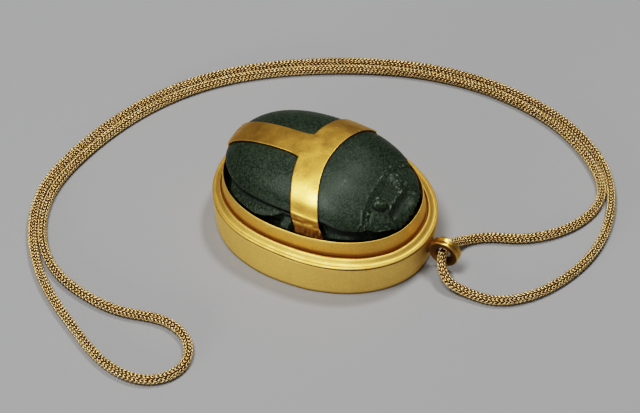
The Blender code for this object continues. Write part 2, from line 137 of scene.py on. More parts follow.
def ripple(points, size, count, seed):
    """Soft, seeded unevenness between about -1 and 1, with waves of about the given size."""
    chance = np.random.default_rng(seed)
    total = 0.0
    for _ in range(count):
        way = chance.normal(size=3)
        way *= 2 * math.pi / size * chance.uniform(0.6, 1.6) / np.linalg.norm(way)
        total = total + np.sin(points @ way + chance.uniform(0, 2 * math.pi))
    return total / math.sqrt(count)


def tube_faces(rows, columns, first=0, ring=False):
    """Quads between closed rows of points. In a ring, the last row joins the first one again."""
    row = np.arange(rows if ring else rows - 1)[:, None] * columns
    following_row = (row + columns) % (rows * columns)
    column = np.arange(columns)
    following = (column + 1) % columns
    quads = [row + column, row + following, following_row + following, following_row + column]
    return (first + np.stack(quads, axis=-1)).reshape(-1, 4).tolist()


def tip_faces(rows, columns):
    """Triangles from a tube's two end rows to two tips, which are the points after its rows."""
    start, end, last = rows * columns, rows * columns + 1, (rows - 1) * columns
    faces = []
    for i in range(columns):
        j = (i + 1) % columns
        faces += [(start, j, i), (end, last + i, last + j)]
    return faces


def make_piece(name, points, faces, node, marks):
    """A smooth mesh from points in millimetres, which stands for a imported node."""
    mesh = bpy.data.meshes.new(name)
    mesh.from_pydata((points * MM).tolist(), [], faces)
    for mark, values in marks.items():
        layer = mesh.attributes.new(mark, "FLOAT", "POINT")
        layer.data.foreach_set("value", values.astype(np.float32))
    bm = bmesh.new()
    bm.from_mesh(mesh)
    bmesh.ops.recalc_face_normals(bm, faces=bm.faces)
    bm.to_mesh(mesh)
    bm.free()
    mesh.shade_smooth()
    piece = new_object(name, mesh)
    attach(piece, "root")
    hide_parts(node)
    print(name, "has", sum(len(face.vertices) - 2 for face in mesh.polygons), "triangles")
    return piece


# %% [markdown]
# ## The chain's route
# The chain comes first, because a free cord has to keep its real length. It leaves the ring, runs
# round the amulet, turns in a far loop and comes back beside itself. The route is a short list of
# given points, and a natural cubic spline through them gives the curve that a limp chain
# would take. Straight runs joined by arcs would look like bent wire.

# %% Route points, in millimetres
CHAIN_DIAMETER = 2.9
STRAND_SPACING = 3.1
CHAIN_END_GAP = 0.3
CHAIN_LIFT = 0.05

FROM_RING = [
    (37.8, 0.15, 6.45), (38.0, 4.6, 5.2), (39.7, 10.4, 2.2), (44.6, 15.0), (52.5, 18.7),
    (60.4, 24.6), (65.9, 32.3), (68.2, 39.6),
]
DOUBLED_RUN = [
    (69.3, 46.2), (61.4, 57.4), (50.5, 64.9), (33.5, 70.3), (15.8, 71.2), (-3.0, 67.8),
    (-24.0, 59.0), (-43.0, 47.3), (-58.5, 33.1), (-70.8, 13.0), (-77.4, -10.5), (-77.8, -29.5),
    (-67.8, -49.2),
]
FAR_LOOP = [
    (-58.2, -54.3), (-46.5, -57.6), (-33.5, -57.6), (-22.5, -55.2), (-13.2, -58.2),
    (-9.6, -66.0), (-14.5, -74.2), (-25.5, -76.2), (-42.4, -69.6), (-59.4, -59.3),
]
BACK_TO_RING = [
    (73.6, 38.2), (74.5, 25.0), (70.9, 11.2), (63.7, -0.2), (55.9, -5.4), (48.4, -6.4, 1.8),
    (42.9, -6.3, 3.2), (39.4, -4.0, 5.0), (37.8, -0.15, 6.6),
]


def chain_route():
    """The route's points: from the ring along the doubled run, round the far loop and back."""
    ground = CHAIN_DIAMETER / 2 + CHAIN_LIFT

    def lay(points):
        return [np.array(p if len(p) == 3 else (*p, ground)) for p in points]

    middle = np.array(lay(DOUBLED_RUN))
    along = unit(np.gradient(middle, axis=0))
    inward = np.stack([-along[:, 1], along[:, 0], 0 * along[:, 0]], axis=1) * STRAND_SPACING / 2
    route = (lay(FROM_RING) + list(middle + inward) + lay(FAR_LOOP)
             + list(middle - inward)[::-1] + lay(BACK_TO_RING))
    route[0][1] = CHAIN_END_GAP / 2
    route[-1][1] = -CHAIN_END_GAP / 2
    return route


def lengths_to(points):
    """How far along a line each of its points lies."""
    return np.append(0.0, np.cumsum(np.linalg.norm(np.diff(points, axis=0), axis=1)))


def spline(points):
    """A natural cubic curve through the points, as lengths along it and a function."""
    points = np.array(points)
    knots = lengths_to(points)
    step = np.diff(knots)
    count = len(points)
    system = np.eye(count)
    right = np.zeros_like(points)
    for i in range(1, count - 1):
        system[i, i - 1:i + 2] = step[i - 1], 2 * (step[i - 1] + step[i]), step[i]
        right[i] = 6 * ((points[i + 1] - points[i]) / step[i]
                        - (points[i] - points[i - 1]) / step[i - 1])
    bend = np.linalg.solve(system, right)

    def at(places):
        i = np.clip(np.searchsorted(knots, places) - 1, 0, count - 2)
        h = step[i][:, None]
        u = ((places - knots[i]) / step[i])[:, None]
        v = 1 - u
        return (v * points[i] + u * points[i + 1]
                + h * h / 6 * ((v ** 3 - v) * bend[i] + (u ** 3 - u) * bend[i + 1]))

    return knots, at


# %% Even steps along the curve, with a frame of directions at each
CHAIN_SAMPLES = 6000

knots, curve_at = spline(chain_route())
dense = curve_at(np.linspace(0.0, knots[-1], CHAIN_SAMPLES))
travelled = lengths_to(dense)
heading = np.gradient(dense, travelled, axis=0)
CHAIN_LENGTH = travelled[-1]


def chain_place(distance):
    """Points on the chain's middle line at distances along it, with side and upper directions."""
    def along(samples):
        return np.stack([np.interp(distance, travelled, column) for column in samples.T], axis=-1)

    ahead = unit(along(heading))
    side = unit(np.cross((0.0, 0.0, 1.0), ahead))
    return along(dense), side, np.cross(ahead, side)


print("chain length:", round(CHAIN_LENGTH, 1), "mm")

# %% [markdown]
# ## The woven chain
# A loop-in-loop chain is threaded from small rings of wire, each bent into a U and passed through
# the one before. From outside it looks like knitting: six columns of nested V shapes. Whole links
# would cost millions of faces, so each arm of a V is one closed spindle of wire that rises out of
# a core and dives back into it. The core is painted dark as shade, for the shaded inside of the
# chain. All the arms are worked out at once, as one array.

# %% Weave the arms
COLUMNS, PITCH = 6, 1.17
ARM_RINGS, ARM_SIDES, ARM_REACH, ARM_OVERLAP = 4, 3, 1.3, 0.92
WIRE_RADIUS, WIRE_FLATNESS = 0.24, 0.85
ROOT_RADIUS, CREST_RADIUS, CREST_FULLNESS = 0.88, 1.23, 0.6
CORE_RADIUS, CORE_SIDES, CORE_STEP, CORE_SHADE = 1.0, 6, 2.0, 0.1
TWIST_LENGTH = 260.0
UNEVEN, UNEVEN_TURN = 0.06, 0.4


def chain_surface(distance, turn, radius):
    """Points round the chain, at distances along it, turns round it and radii from its middle."""
    distance, turn, radius = np.broadcast_arrays(distance, turn, radius)
    point, side, over = chain_place(distance)
    turn = turn + 2 * math.pi * distance / TWIST_LENGTH
    outward = np.cos(turn)[..., None] * side + np.sin(turn)[..., None] * over
    return point + outward * radius[..., None], outward


def weave_arms():
    """Every arm of every V as rings of points and two tips, and how far out each point is."""
    count = int(CHAIN_LENGTH / PITCH)
    pitch = CHAIN_LENGTH / (count - 0.5)
    link = np.arange(count)[:, None, None, None]
    column = np.arange(COLUMNS)[:, None, None]
    hand = np.array([-1.0, 1.0])[:, None]
    share = np.linspace(0.0, 1.0, ARM_RINGS + 2)
    jitter = rng.normal(size=(count, COLUMNS, 2, 1)) * UNEVEN
    distance = (link + 0.5 * (column % 2)) * pitch + (0.5 - share) * ARM_REACH + jitter
    distance = np.clip(distance, 0.0, CHAIN_LENGTH)
    turn = column + 0.5 * hand * share * ARM_OVERLAP + jitter * UNEVEN_TURN
    radius = ROOT_RADIUS + (CREST_RADIUS - ROOT_RADIUS) * np.sin(math.pi * share) ** CREST_FULLNESS
    middle, outward = chain_surface(distance, turn * 2 * math.pi / COLUMNS, radius)
    run = unit(np.gradient(middle, axis=-2))
    flat = unit(np.cross(run, outward))
    over = np.cross(flat, run)
    spin = (math.pi / 2 + full_turn(ARM_SIDES))[:, None]
    inner = np.s_[..., 1:-1, None, :]
    rings = middle[inner] + WIRE_RADIUS * (np.cos(spin) * flat[inner]
                                           + WIRE_FLATNESS * np.sin(spin) * over[inner])
    chain_axis = middle - outward * radius[..., None]
    out = np.linalg.norm(rings - chain_axis[inner], axis=-1).reshape(-1, ARM_RINGS * ARM_SIDES)
    tips = middle[..., [0, -1], :].reshape(-1, 2, 3)
    arms = np.concatenate([rings.reshape(-1, ARM_RINGS * ARM_SIDES, 3), tips], axis=1)
    return arms, np.concatenate([out, np.full((len(arms), 2), CORE_RADIUS)], axis=1)


def make_chain():
    """All the arms and the core they rise out of, and the distances that the core is built at."""
    arms, out = weave_arms()
    size = arms.shape[1]
    one_arm = tube_faces(ARM_RINGS, ARM_SIDES) + tip_faces(ARM_RINGS, ARM_SIDES)
    faces = [[corner + base for corner in face]
             for base in range(0, len(arms) * size, size) for face in one_arm]
    steps = np.linspace(0.0, CHAIN_LENGTH, int(CHAIN_LENGTH / CORE_STEP))
    base = len(arms) * size
    last = base + (len(steps) - 1) * CORE_SIDES
    faces += tube_faces(len(steps), CORE_SIDES, first=base)
    faces += [range(base, base + CORE_SIDES), range(last, last + CORE_SIDES)]
    core, _ = chain_surface(steps[:, None], full_turn(CORE_SIDES), CORE_RADIUS)
    points = np.concatenate([arms.reshape(-1, 3), core.reshape(-1, 3)])
    # The core is stored lower than any wire, so it takes the darkest painted shade.
    out = np.append(out, np.full(len(steps) * CORE_SIDES, CORE_RADIUS - CORE_SHADE))
    return make_piece("woven_chain", points, faces, "gold_chain", {"out": out}), steps


chain, chain_steps = make_chain()
chain_path = chain_place(chain_steps)[0] * MM

# %% [markdown]
# ## The carved stone
# The beetle's back is a dome over an oval plan. It could be sculpted, but a formula for the height
# lets every carved line be placed by its real distance from the widest line. The mesh is a set of
# rings: from the crown to the carved edge of the wing cases, down the sunk side with its folded
# legs, and round the slab that sits inside the gold.

# %% Sizes shared by the stone and its setting, in millimetres
STONE_BACK, STONE_FRONT, STONE_HALF_WIDTH = 29.75, 29.3, 20.6
DOME_HEIGHT, DOME_PLAN_FULLNESS, DOME_RISE_FULLNESS = 11.9, 2.37, 2.6
NOSE_DROP_START, NOSE_DROP_SOFT, NOSE_DROP, NOSE_DROP_POWER = 9.5, 4.0, 0.56, 1.15
RIM_COVER, RIM_GAP_TAIL, RIM_GAP_NOSE, RIM_GAP_SIDE = 0.9, -0.7, 0.4, 1.45
RIM_THICKNESS, RIM_LEAN_NOSE, RIM_HEIGHT = 0.6, 0.8, 5.7
LEDGE_TAIL, LEDGE_NOSE, LEDGE_SIDE = 3.4, 4.85, 5.05
GROOVE_RISE, SEAM = 0.95, 0.15
BAND_HEIGHT, BAND_THICKNESS, BAND_FLARE = 11.1, 0.9, 0.6
BASE_LIP_WIDTH, BASE_LIP_THICKNESS = 2.0, 0.6
SETTING_FULLNESS, RIM_FULLNESS, SETTING_TAPER = 2.11, 2.22, 0.07
SIDE_PULL, SIDE_PULL_PLACE, SIDE_PULL_REACH = 1.15, -4.0, 16.0
STONE_CLEARANCE = 0.3
CROSS_WIDTH, CROSS_FORWARD, CROSS_BOW_NEAR, CROSS_BOW_FAR = 8.4, -1.4, 6.6, 5.3
LENGTH_WIDTH, CORNER_FLARE, CORNER_FLARE_RUN = 8.3, 0.8, 1.6

SETTING_LENGTH = LEDGE_TAIL + RIM_GAP_TAIL + STONE_BACK + STONE_FRONT + RIM_GAP_NOSE + LEDGE_NOSE
RIM_TAIL = -SETTING_LENGTH / 2 + LEDGE_TAIL
RIM_NOSE = SETTING_LENGTH / 2 - LEDGE_NOSE
RIM_HALF_WIDTH = STONE_HALF_WIDTH + RIM_GAP_SIDE
WAIST_X = RIM_TAIL + RIM_GAP_TAIL + STONE_BACK
COLLAR_BOTTOM = BAND_HEIGHT + SEAM
RIM_TOP = COLLAR_BOTTOM + GROOVE_RISE + RIM_HEIGHT
DOME_FOOT = RIM_TOP - RIM_COVER


def band_oval(angle, inset):
    """The setting's outer oval at the top of the side band, moved in by an inset."""
    half = SETTING_LENGTH / 2 - inset
    side = RIM_HALF_WIDTH + LEDGE_SIDE - inset
    return oval(angle, -half, half, side, SETTING_FULLNESS, SETTING_TAPER)


def side_pull(angle):
    """How far the ledge's edge is drawn in along both sides, where the sheet lies flatter."""
    return SIDE_PULL * bump(band_oval(angle, 0.0)[0] - SIDE_PULL_PLACE, SIDE_PULL_REACH)


def rim_oval(angle, out, lean=0.0):
    """The rim's inner oval, moved out. The lean widens it further at the head end."""
    return oval(angle, RIM_TAIL - out, RIM_NOSE + out + lean, RIM_HALF_WIDTH + out,
                RIM_FULLNESS, SETTING_TAPER)


def stone_reach(forward):
    """How far the stone's plan reaches along its length, on the side that a point is on."""
    return np.where(forward > 0, STONE_FRONT, STONE_BACK)


def plan_share(value, limit):
    """How wide the plan still is at a distance along it, as a share of its full width."""
    reached = np.minimum(np.abs(value / limit), 1) ** DOME_PLAN_FULLNESS
    return (1 - reached) ** (1 / DOME_PLAN_FULLNESS)


def dome_height(forward, y, grow=0.0):
    """The uncarved dome's height above the ground, over points of its plan."""
    ends = np.abs(forward / (stone_reach(forward) + grow)) ** DOME_PLAN_FULLNESS
    sides = np.abs(y / (STONE_HALF_WIDTH + grow)) ** DOME_PLAN_FULLNESS
    share = np.minimum(ends + sides, 1.0) ** (1 / DOME_PLAN_FULLNESS)
    ahead = forward - NOSE_DROP_START
    run = (ahead + np.hypot(ahead, NOSE_DROP_SOFT)) / 2 / (STONE_FRONT - NOSE_DROP_START)
    fall = 1 - NOSE_DROP * run ** NOSE_DROP_POWER
    rise = (1 - share ** DOME_RISE_FULLNESS) ** (1 / DOME_RISE_FULLNESS)
    return DOME_FOOT + (DOME_HEIGHT + grow) * fall * rise


packed_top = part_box("stepped_collar")[1].z / MM
print("rim top by these sizes:", round(RIM_TOP, 2), "and in the frame:", round(packed_top, 2))

# %% [markdown]
# ### The beetle's head
# In front of the thorax the stone drops by a small step to the head: two oval eyes, of which the
# far one is nearly worn away, a flat forehead, and in front of it the toothed shield with an
# incised line on each side. Each feature depends on the distance forward and the distance from
# the middle line, and the features are added up. Scuffs and painted shade come with them.

# %% Carving on the head and along the edges
HEAD_STEP, HEAD_STEP_RUN = 0.26, 1.8
THORAX_FRONT = 17.6
EYE_FORWARD, EYE_ASIDE, EYE_TURN = 21.2, 5.4, math.radians(45)
EYE_HALF_LENGTH, EYE_HALF_WIDTH, EYE_HEIGHT, FAR_EYE_WEAR = 2.05, 1.5, 0.8, 0.8
SHIELD_BACK = 23.4
SHIELD_LINE = [(23.5, 4.9), (25.8, 6.4), (28.4, 6.9)]
RIDGE_LINES = [
    [(18.2, 10.8), (19.0, 12.4), (19.5, 13.9), (18.9, 15.4)],
    [(19.6, 10.0), (20.2, 12.0), (20.6, 13.8)],
]
CHEEK_LINE = [(20.2, 9.2), (20.5, 11.3), (21.3, 12.9), (22.6, 13.9)]
SHIELD_CUT, CHEEK_CUT, RIDGE_RISE, PLATE_CUT, MUZZLE_RISE = 0.45, 0.25, 0.16, 0.1, 0.9
EDGE_LINE = [
    (-29.75, 0.97), (-24.5, 0.962), (-18.0, 0.962), (-14.9, 0.955), (-11.8, 0.947), (-6.0, 0.939),
    (0.0, 0.934), (9.6, 0.93), (11.5, 0.936), (13.5, 0.947), (16.8, 0.955), (19.0, 0.95),
    (21.4, 0.945), (22.8, 0.925), (23.3, 0.925), (24.2, 0.95), (26.9, 0.962), (28.3, 0.968),
    (29.3, 0.97),
]
TOOTH_COUNT, TOOTH_BAND, TOOTH_LENGTH, TOOTH_FULLNESS = 9, 15.0, 0.45, 0.6
EDGE_UNDERCUT, EDGE_DROP = 1.1, 0.35
LINE_INSET, LINE_WIDTH, LINE_DEPTH = 0.8, 0.14, 0.12
EDGE_ROUND, EDGE_ROUND_RUN, STRAP_SEAM = 0.25, 0.35, 0.28


def near_line(forward, aside, line):
    """The distance from points of the plan to a line through a few corners."""
    best = np.full(np.shape(forward), 1e9)
    for (f0, a0), (f1, a1) in zip(line, line[1:]):
        run, rise = f1 - f0, a1 - a0
        share = np.clip(((forward - f0) * run + (aside - a0) * rise) / (run ** 2 + rise ** 2), 0, 1)
        best = np.minimum(best, np.hypot(forward - f0 - share * run, aside - a0 - share * rise))
    return best


def thorax_edge(aside):
    """How far forward the thorax ends, which is a little further at the sides."""
    return THORAX_FRONT + 0.6 * smooth(aside, 5.0, 9.5) + 0.9 * smooth(aside, 9.5, 13.0)


def eye_place(forward, aside):
    """How far points are from an eye's middle, in eye radii, and how far on its outer side."""
    ahead, out = forward - EYE_FORWARD, aside - EYE_ASIDE
    along = (ahead * math.cos(EYE_TURN) - out * math.sin(EYE_TURN)) / EYE_HALF_LENGTH
    across = (ahead * math.sin(EYE_TURN) + out * math.cos(EYE_TURN)) / EYE_HALF_WIDTH
    return np.hypot(along, across), across


def head_relief(forward, y):
    """What carving adds to or takes from the dome towards the head, its scuffs and its painted
    shade.
    """
    aside = np.abs(y)
    past = forward - thorax_edge(aside)
    on_head = smooth(past, 0.0, HEAD_STEP_RUN)
    # The eyes: a boss in a ring-shaped hollow, deepest on its outer side
    ring, outer = eye_place(forward, aside)
    hollow = bump(ring - 1.14, 0.17)
    low_side = smooth(outer, -0.2, 0.8)
    whole = 1 - FAR_EYE_WEAR * smooth(y, -1.0, 1.0)
    eye = EYE_HEIGHT * np.sqrt(np.maximum(1 - ring ** 2, 0.0)) - (0.12 + 0.4 * low_side) * hollow
    # The shield: sunk between its two lines, with a raised patch near its tip
    groove = near_line(forward, aside, SHIELD_LINE)
    inside = smooth(aside - np.interp(forward, *np.transpose(SHIELD_LINE)), 0.5, -0.5)
    sink = smooth(forward, SHIELD_BACK - 0.2, SHIELD_BACK + 1.6)
    sink = sink * (-0.7 + 0.2 * smooth(forward, 25.0, 26.5)) * (1 - 0.6 * smooth(y, -2.0, 3.0))
    muzzle = bump(forward - 28.4, 1.6) * bump(y - 2.6, 3.3)
    # The flat forehead, and the lines on the cheeks and beside them
    plate = smooth(forward, 18.9, 19.8) * smooth(forward, SHIELD_BACK + 0.1, SHIELD_BACK - 0.4)
    plate = plate * smooth(aside, 4.4, 3.0)
    cheek = near_line(forward, aside, CHEEK_LINE)
    ridge = sum(bump(near_line(forward, aside, line), 0.3) for line in RIDGE_LINES)
    relief = on_head * (-HEAD_STEP + eye * whole + inside * sink + MUZZLE_RISE * muzzle
                        - PLATE_CUT * plate - SHIELD_CUT * whole * bump(groove, 0.34))
    relief = relief - CHEEK_CUT * bump(cheek, 0.32) + RIDGE_RISE * ridge
    # Rubbed places: the thorax edge, the shield's back edge, the ridges, chips and the far side
    far = smooth(y, 1.0, 4.0)
    arc = bump(past + 0.15, 0.22) + 0.7 * bump(past - 0.55, 0.2) * smooth(y, -1.0, 2.0)
    front = bump(forward - SHIELD_BACK, 0.28) * smooth(aside, 6.2, 4.8)
    chip = bump(np.hypot(forward - 26.5, aside - 5.4), 0.45)
    chip = chip + bump(np.hypot(ring - 0.6, outer), 0.3)
    worn = (0.8 * front + 0.45 * bump(ring - 1.32, 0.1) * (1 - low_side) + 0.6 * chip + 0.22
            + 0.12 * far * smooth(aside, 8.0, 6.0)
            + 0.05 * smooth(aside, 7.0, 8.5) * smooth(cheek, 0.5, 1.0))
    scuff = (0.45 + 0.5 * far) * arc * smooth(aside, 9.5, 7.0) + 0.35 * ridge + on_head * worn
    # Painted shade: the forehead, which tilts away from the light, the low side of each eye's
    # hollow, the shield's lines, the cheek line and the sunk shield.
    painted_shade = on_head * (0.4 * plate + hollow * low_side + whole * bump(groove, 0.3)
                      + 0.5 * bump(cheek, 0.25) + 0.8 * inside * bump(forward - 24.8, 1.1))
    return relief, scuff, np.minimum(painted_shade, 1.0)


def strap_seam_shade(forward, y):
    """Painted shade along the strap's edges: a dark line in the seam between gold and stone."""
    aside = np.abs(y)
    share = aside / (STONE_HALF_WIDTH * np.maximum(plan_share(forward, stone_reach(forward)), 0.1))
    bow = np.where(y < 0, CROSS_BOW_NEAR, CROSS_BOW_FAR)
    from_cross = np.abs(forward - CROSS_FORWARD - bow * share ** 2) - CROSS_WIDTH / 2
    back_edge = CROSS_FORWARD - CROSS_WIDTH / 2
    flare = CORNER_FLARE * np.exp(np.minimum(forward - back_edge, 0.0) / CORNER_FLARE_RUN)
    from_arm = aside - LENGTH_WIDTH / 2 - flare
    across = bump(from_cross, STRAP_SEAM) * np.maximum(smooth(aside, 4.0, 5.0), forward > 0)
    return np.maximum(across, bump(from_arm, STRAP_SEAM) * (forward < back_edge))


def stone_plan(angle, share):
    """Points of the stone's plan at a share of the way from the crown to the foot line."""
    forward, y = oval(angle, -1.0, 1.0, 1.0, DOME_PLAN_FULLNESS)
    return forward * stone_reach(forward) * share, y * STONE_HALF_WIDTH * share


def edge_share(angle):
    """Where the wing cases, the thorax and the head end, as a share of the plan."""
    share = np.interp(stone_plan(angle, 1.0)[0], *np.transpose(EDGE_LINE))
    y = STONE_HALF_WIDTH * np.sin(angle)
    toothed = (np.abs(y) < TOOTH_BAND / 2) & (np.cos(angle) > 0)
    teeth = np.abs(np.cos(math.pi * TOOTH_COUNT * y / TOOTH_BAND)) ** TOOTH_FULLNESS
    return share + toothed * TOOTH_LENGTH / STONE_FRONT * teeth


# %% [markdown]
# ### From the edge down to the setting
# Below the carved edge the stone is cut back to a groove. Under it the beetle's hind leg lies
# folded along the side, broad at the tail and narrow towards the strap, with a hollow beneath.
# The groove, the underside of the leg and the foot are darkened with painted shade.
# Each row of the mesh runs between a few such lines, whose distance from the rim changes along
# the stone. Under the collar only the slab is left, which the flat underside belongs to.

# %% Rings of the stone
DOME_ROWS, RECESS_ROWS, STONE_COLUMNS = 140, 34, 490
NOSE_CROWDING = 0.45
STRAP_GAP = 1.1
# Along the stone: the leg's low edge, as its distance in from the rim and its height over the foot
LEG_LOW_EDGE = [
    (-25.5, 2.6, -0.5), (-22.8, 0.5, 0.8), (-12.5, 0.45, 0.8), (-9.5, 1.0, 1.2), (-7.0, 1.8, 2.0),
    (-5.0, 2.4, 2.9), (-3.5, 2.9, 3.9), (10.8, 2.9, 4.0), (12.6, 0.9, 0.6), (18.5, 0.9, 0.5),
    (21.5, 1.6, -0.6),
]
LEG_BULGE, LEG_UNDERCUT, LEG_THICKNESS = 0.4, 1.3, 0.9
HOLLOW_INSET, HOLLOW_HEIGHT, FOOT_INSET, FOOT_HEIGHT = 3.2, -0.4, 2.6, -1.2
RECESS_LEVELS = (0.0, 0.12, 0.3, 0.5, 0.64, 0.8, 1.0)
# Painted shade at each level: most in the groove under the carved edge, some at the edge itself,
# under the leg's low edge and at the foot.
RECESS_SHADE = (0.3, 0.8, 0.0, 0.0, 0.35, 0.0, 0.4)
RECESS_SCUFF, STONE_GRAIN = 0.35, 0.035


def dome_rows(angle):
    """Rows from the crown to the carved edge, with their scuffs and painted shade."""
    edge = np.arcsin(edge_share(angle) ** (DOME_RISE_FULLNESS / 2))
    turn = np.linspace(0.0, 1.0, DOME_ROWS + 1)[1:, None]
    share = np.sin(turn * edge) ** (2 / DOME_RISE_FULLNESS)
    forward, y = stone_plan(angle, share)
    relief, scuff, painted_shade = head_relief(forward, y)
    inset = (edge_share(angle) - share) * np.hypot(*stone_plan(angle, 1.0))
    line = bump(inset - LINE_INSET, LINE_WIDTH) * smooth(forward, -13.0, -10.0) * (forward < 0)
    height = dome_height(forward, y) + relief - LINE_DEPTH * line
    height = height - EDGE_ROUND * smooth(inset, EDGE_ROUND_RUN, 0.0)
    scuff = scuff + 0.28 * line + bump(inset, 0.16) * (0.25 + 0.5 * smooth(forward, -19.0, -22.0))
    rows = np.stack([WAIST_X + forward, y, height], axis=-1)
    return rows, scuff, np.maximum(painted_shade, strap_seam_shade(forward, y))


def recess_rows(angle, edge_row):
    """Rows of the sunk side: the groove, the folded leg, the hollow under it and the foot."""
    along = stone_plan(angle, 1.0)[0]
    places, insets, rises = np.transpose(LEG_LOW_EDGE)
    inset, rise = np.interp(along, places, insets), np.interp(along, places, rises)
    small_foot = smooth(along, -4.6, -3.4) * smooth(along, 1.0, 0.0)
    front = smooth(along, 10.0, 12.5)
    x, y = stone_plan(angle, edge_share(angle) - EDGE_UNDERCUT / STONE_HALF_WIDTH)
    top = edge_row[:, 2]

    def line(distance, height):
        return np.stack([*rim_oval(angle, -distance), DOME_FOOT + height + 0 * angle])

    start = np.stack([WAIST_X + x, y, top - EDGE_DROP])
    groove = np.stack([WAIST_X + x, y, top - 1.1 - 1.0 * front])
    low_edge = line(inset, rise)
    middle = (groove + low_edge) / 2
    middle[:2] += LEG_BULGE * middle[:2] / np.linalg.norm(middle[:2], axis=0) * (1 - front)
    middle[2] += LEG_BULGE * 0.6 * (1 - front)
    keys = [start, groove, middle, low_edge, line(inset + LEG_UNDERCUT, rise - LEG_THICKNESS),
            line(HOLLOW_INSET - 0.5 * small_foot, HOLLOW_HEIGHT + 2.4 * small_foot),
            line(FOOT_INSET - 1.9 * small_foot, FOOT_HEIGHT + 1.7 * small_foot)]
    level = np.linspace(0.0, 1.0, RECESS_ROWS + 1)
    part = np.clip(np.searchsorted(RECESS_LEVELS, level, side="right") - 1, 0, len(keys) - 2)
    low, high = np.array(RECESS_LEVELS)[part], np.array(RECESS_LEVELS)[part + 1]
    share = ((level - low) / (high - low))[:, None, None]
    rows = np.array(keys)[part] * (1 - share) + np.array(keys)[part + 1] * share
    for _ in range(3):
        rows[1:-1] = (rows[:-2] + 2 * rows[1:-1] + rows[2:]) / 4
    # Painted shade on the sunk side: less on the small foot, more towards the head.
    painted_shade = np.interp(level, RECESS_LEVELS, RECESS_SHADE)[:, None] + 0 * angle
    painted_shade = painted_shade * (1 - 0.45 * small_foot) + 0.25 * front
    return np.moveaxis(rows, 1, 2)[1:], np.minimum(painted_shade[1:], 1.0)


def slab_row(angle, height, inset):
    """A row of the slab inside the gold band, which leans in and out with it."""
    rise = height / BAND_HEIGHT
    lean = BAND_FLARE * (1 - rise) + side_pull(angle) * rise
    x, y = band_oval(angle, BAND_THICKNESS + STONE_CLEARANCE + lean + inset)
    return np.stack([x, y, np.full_like(x, height)], axis=-1)


def make_stone():
    """The dome, the sunk side and the slab as one closed tube, with a crown and a base point."""
    turn = full_turn(STONE_COLUMNS)
    angle = turn - NOSE_CROWDING * np.sin(turn)
    dome, scuff, painted_shade = dome_rows(angle)
    recess, recess_shade = recess_rows(angle, dome[-1])
    neck_foot, lip_top = COLLAR_BOTTOM - STONE_CLEARANCE, BASE_LIP_THICKNESS + STONE_CLEARANCE
    neck = recess[-1].copy()
    neck[:, 2] = neck_foot
    lip_inset = BASE_LIP_WIDTH - BAND_THICKNESS
    slab = [neck] + [slab_row(angle, height, inset) for height, inset in (
        (neck_foot, 0.0), (lip_top, 0.0), (lip_top, lip_inset), (0.0, lip_inset))]
    rows = np.concatenate([dome, recess, slab])
    grain = STONE_GRAIN * ripple(rows, 9.0, 14, 3)
    rows[:DOME_ROWS, :, 2] += grain[:DOME_ROWS]
    tips = [(WAIST_X, 0.0, DOME_FOOT + DOME_HEIGHT), (0, 0, 0)]
    hidden = np.zeros(len(slab) * STONE_COLUMNS + len(tips))
    scuffs = np.concatenate([scuff.ravel(), RECESS_SCUFF * (1 - recess_shade.ravel()), hidden])
    painted_shade = np.concatenate([painted_shade.ravel(), recess_shade.ravel(), hidden])
    faces = tube_faces(len(rows), STONE_COLUMNS) + tip_faces(len(rows), STONE_COLUMNS)
    return make_piece("carved_stone", np.concatenate([rows.reshape(-1, 3), tips]), faces,
                      "stone_scarab", {"scuff": scuffs, "painted_shade": painted_shade})


stone = make_stone()

# %% [markdown]
# ## The gold setting
# The setting is worked from sheet: an upright band, and on it a collar with a small lip, a hollow,
# a round bead, a deep groove and the rim that grips the stone. A Screw modifier would turn their
# profiles round a circle only, so the profile's points are placed between two ovals instead. A
# slow ripple keeps the gold from looking machined, and a mark on the mesh stores where tarnish
# has settled and where shade is painted: in the groove, the hollows, the seams and the hidden faces.

# %% Profiles of the band and the collar
SETTING_COLUMNS = 420
LEDGE_PROFILE = [
    (0.06, 0.0), (0.03, 0.05), (0.0, 0.1), (-0.012, 0.17), (-0.01, 0.25), (0.006, 0.32),
    (0.035, 0.38), (0.07, 0.45), (0.105, 0.52), (0.125, 0.54), (0.14, 0.51), (0.155, 0.43),
    (0.18, 0.38), (0.23, 0.38), (0.3, 0.42), (0.38, 0.53), (0.46, 0.72), (0.53, 0.93),
    (0.59, 1.12), (0.65, 1.28), (0.7, 1.38), (0.74, 1.44), (0.775, 1.46), (0.805, 1.41),
    (0.83, 1.28), (0.855, 1.1), (0.885, 0.93), (0.915, 0.84), (0.955, 0.8), (1.0, 0.82),
]
RIM_PROFILE = [
    (0.62, 0.95), (0.62, 1.3), (0.62, 1.7), (0.61, 2.2), (0.6, 3.0), (0.56, 4.6), (0.5, 5.6),
    (0.42, 6.2), (0.33, 6.5), (0.22, 6.63), (0.1, 6.62), (0.02, 6.5), (0.0, 6.3), (0.0, 5.9),
    (0.0, 4.5), (0.0, 2.0), (0.0, 0.0),
]
JOINT_HEIGHT, JOINT_REACH, JOINT_STAIN = 8.0, 3.6, 0.7
BAND_SHARES = [0.0, 0.025, 0.04, 0.06, *np.linspace(0.1, 0.97, 12), 1.0]
BAND_TOP_ROUND, SEAM_NOTCH, BAND_FOOT_ROUND = 0.4, 0.15, 0.12
# Painted shade: a shadow line in the seam under the collar at the top, a contact shadow at the foot,
# and the hidden lip and inside.
BAND_PAINTED_SHADE = [1.0, 0.9, *[0.0] * (len(BAND_SHARES) - 4), 0.7, 1.0, 1.0, 1.0, 1.0, 1.0]


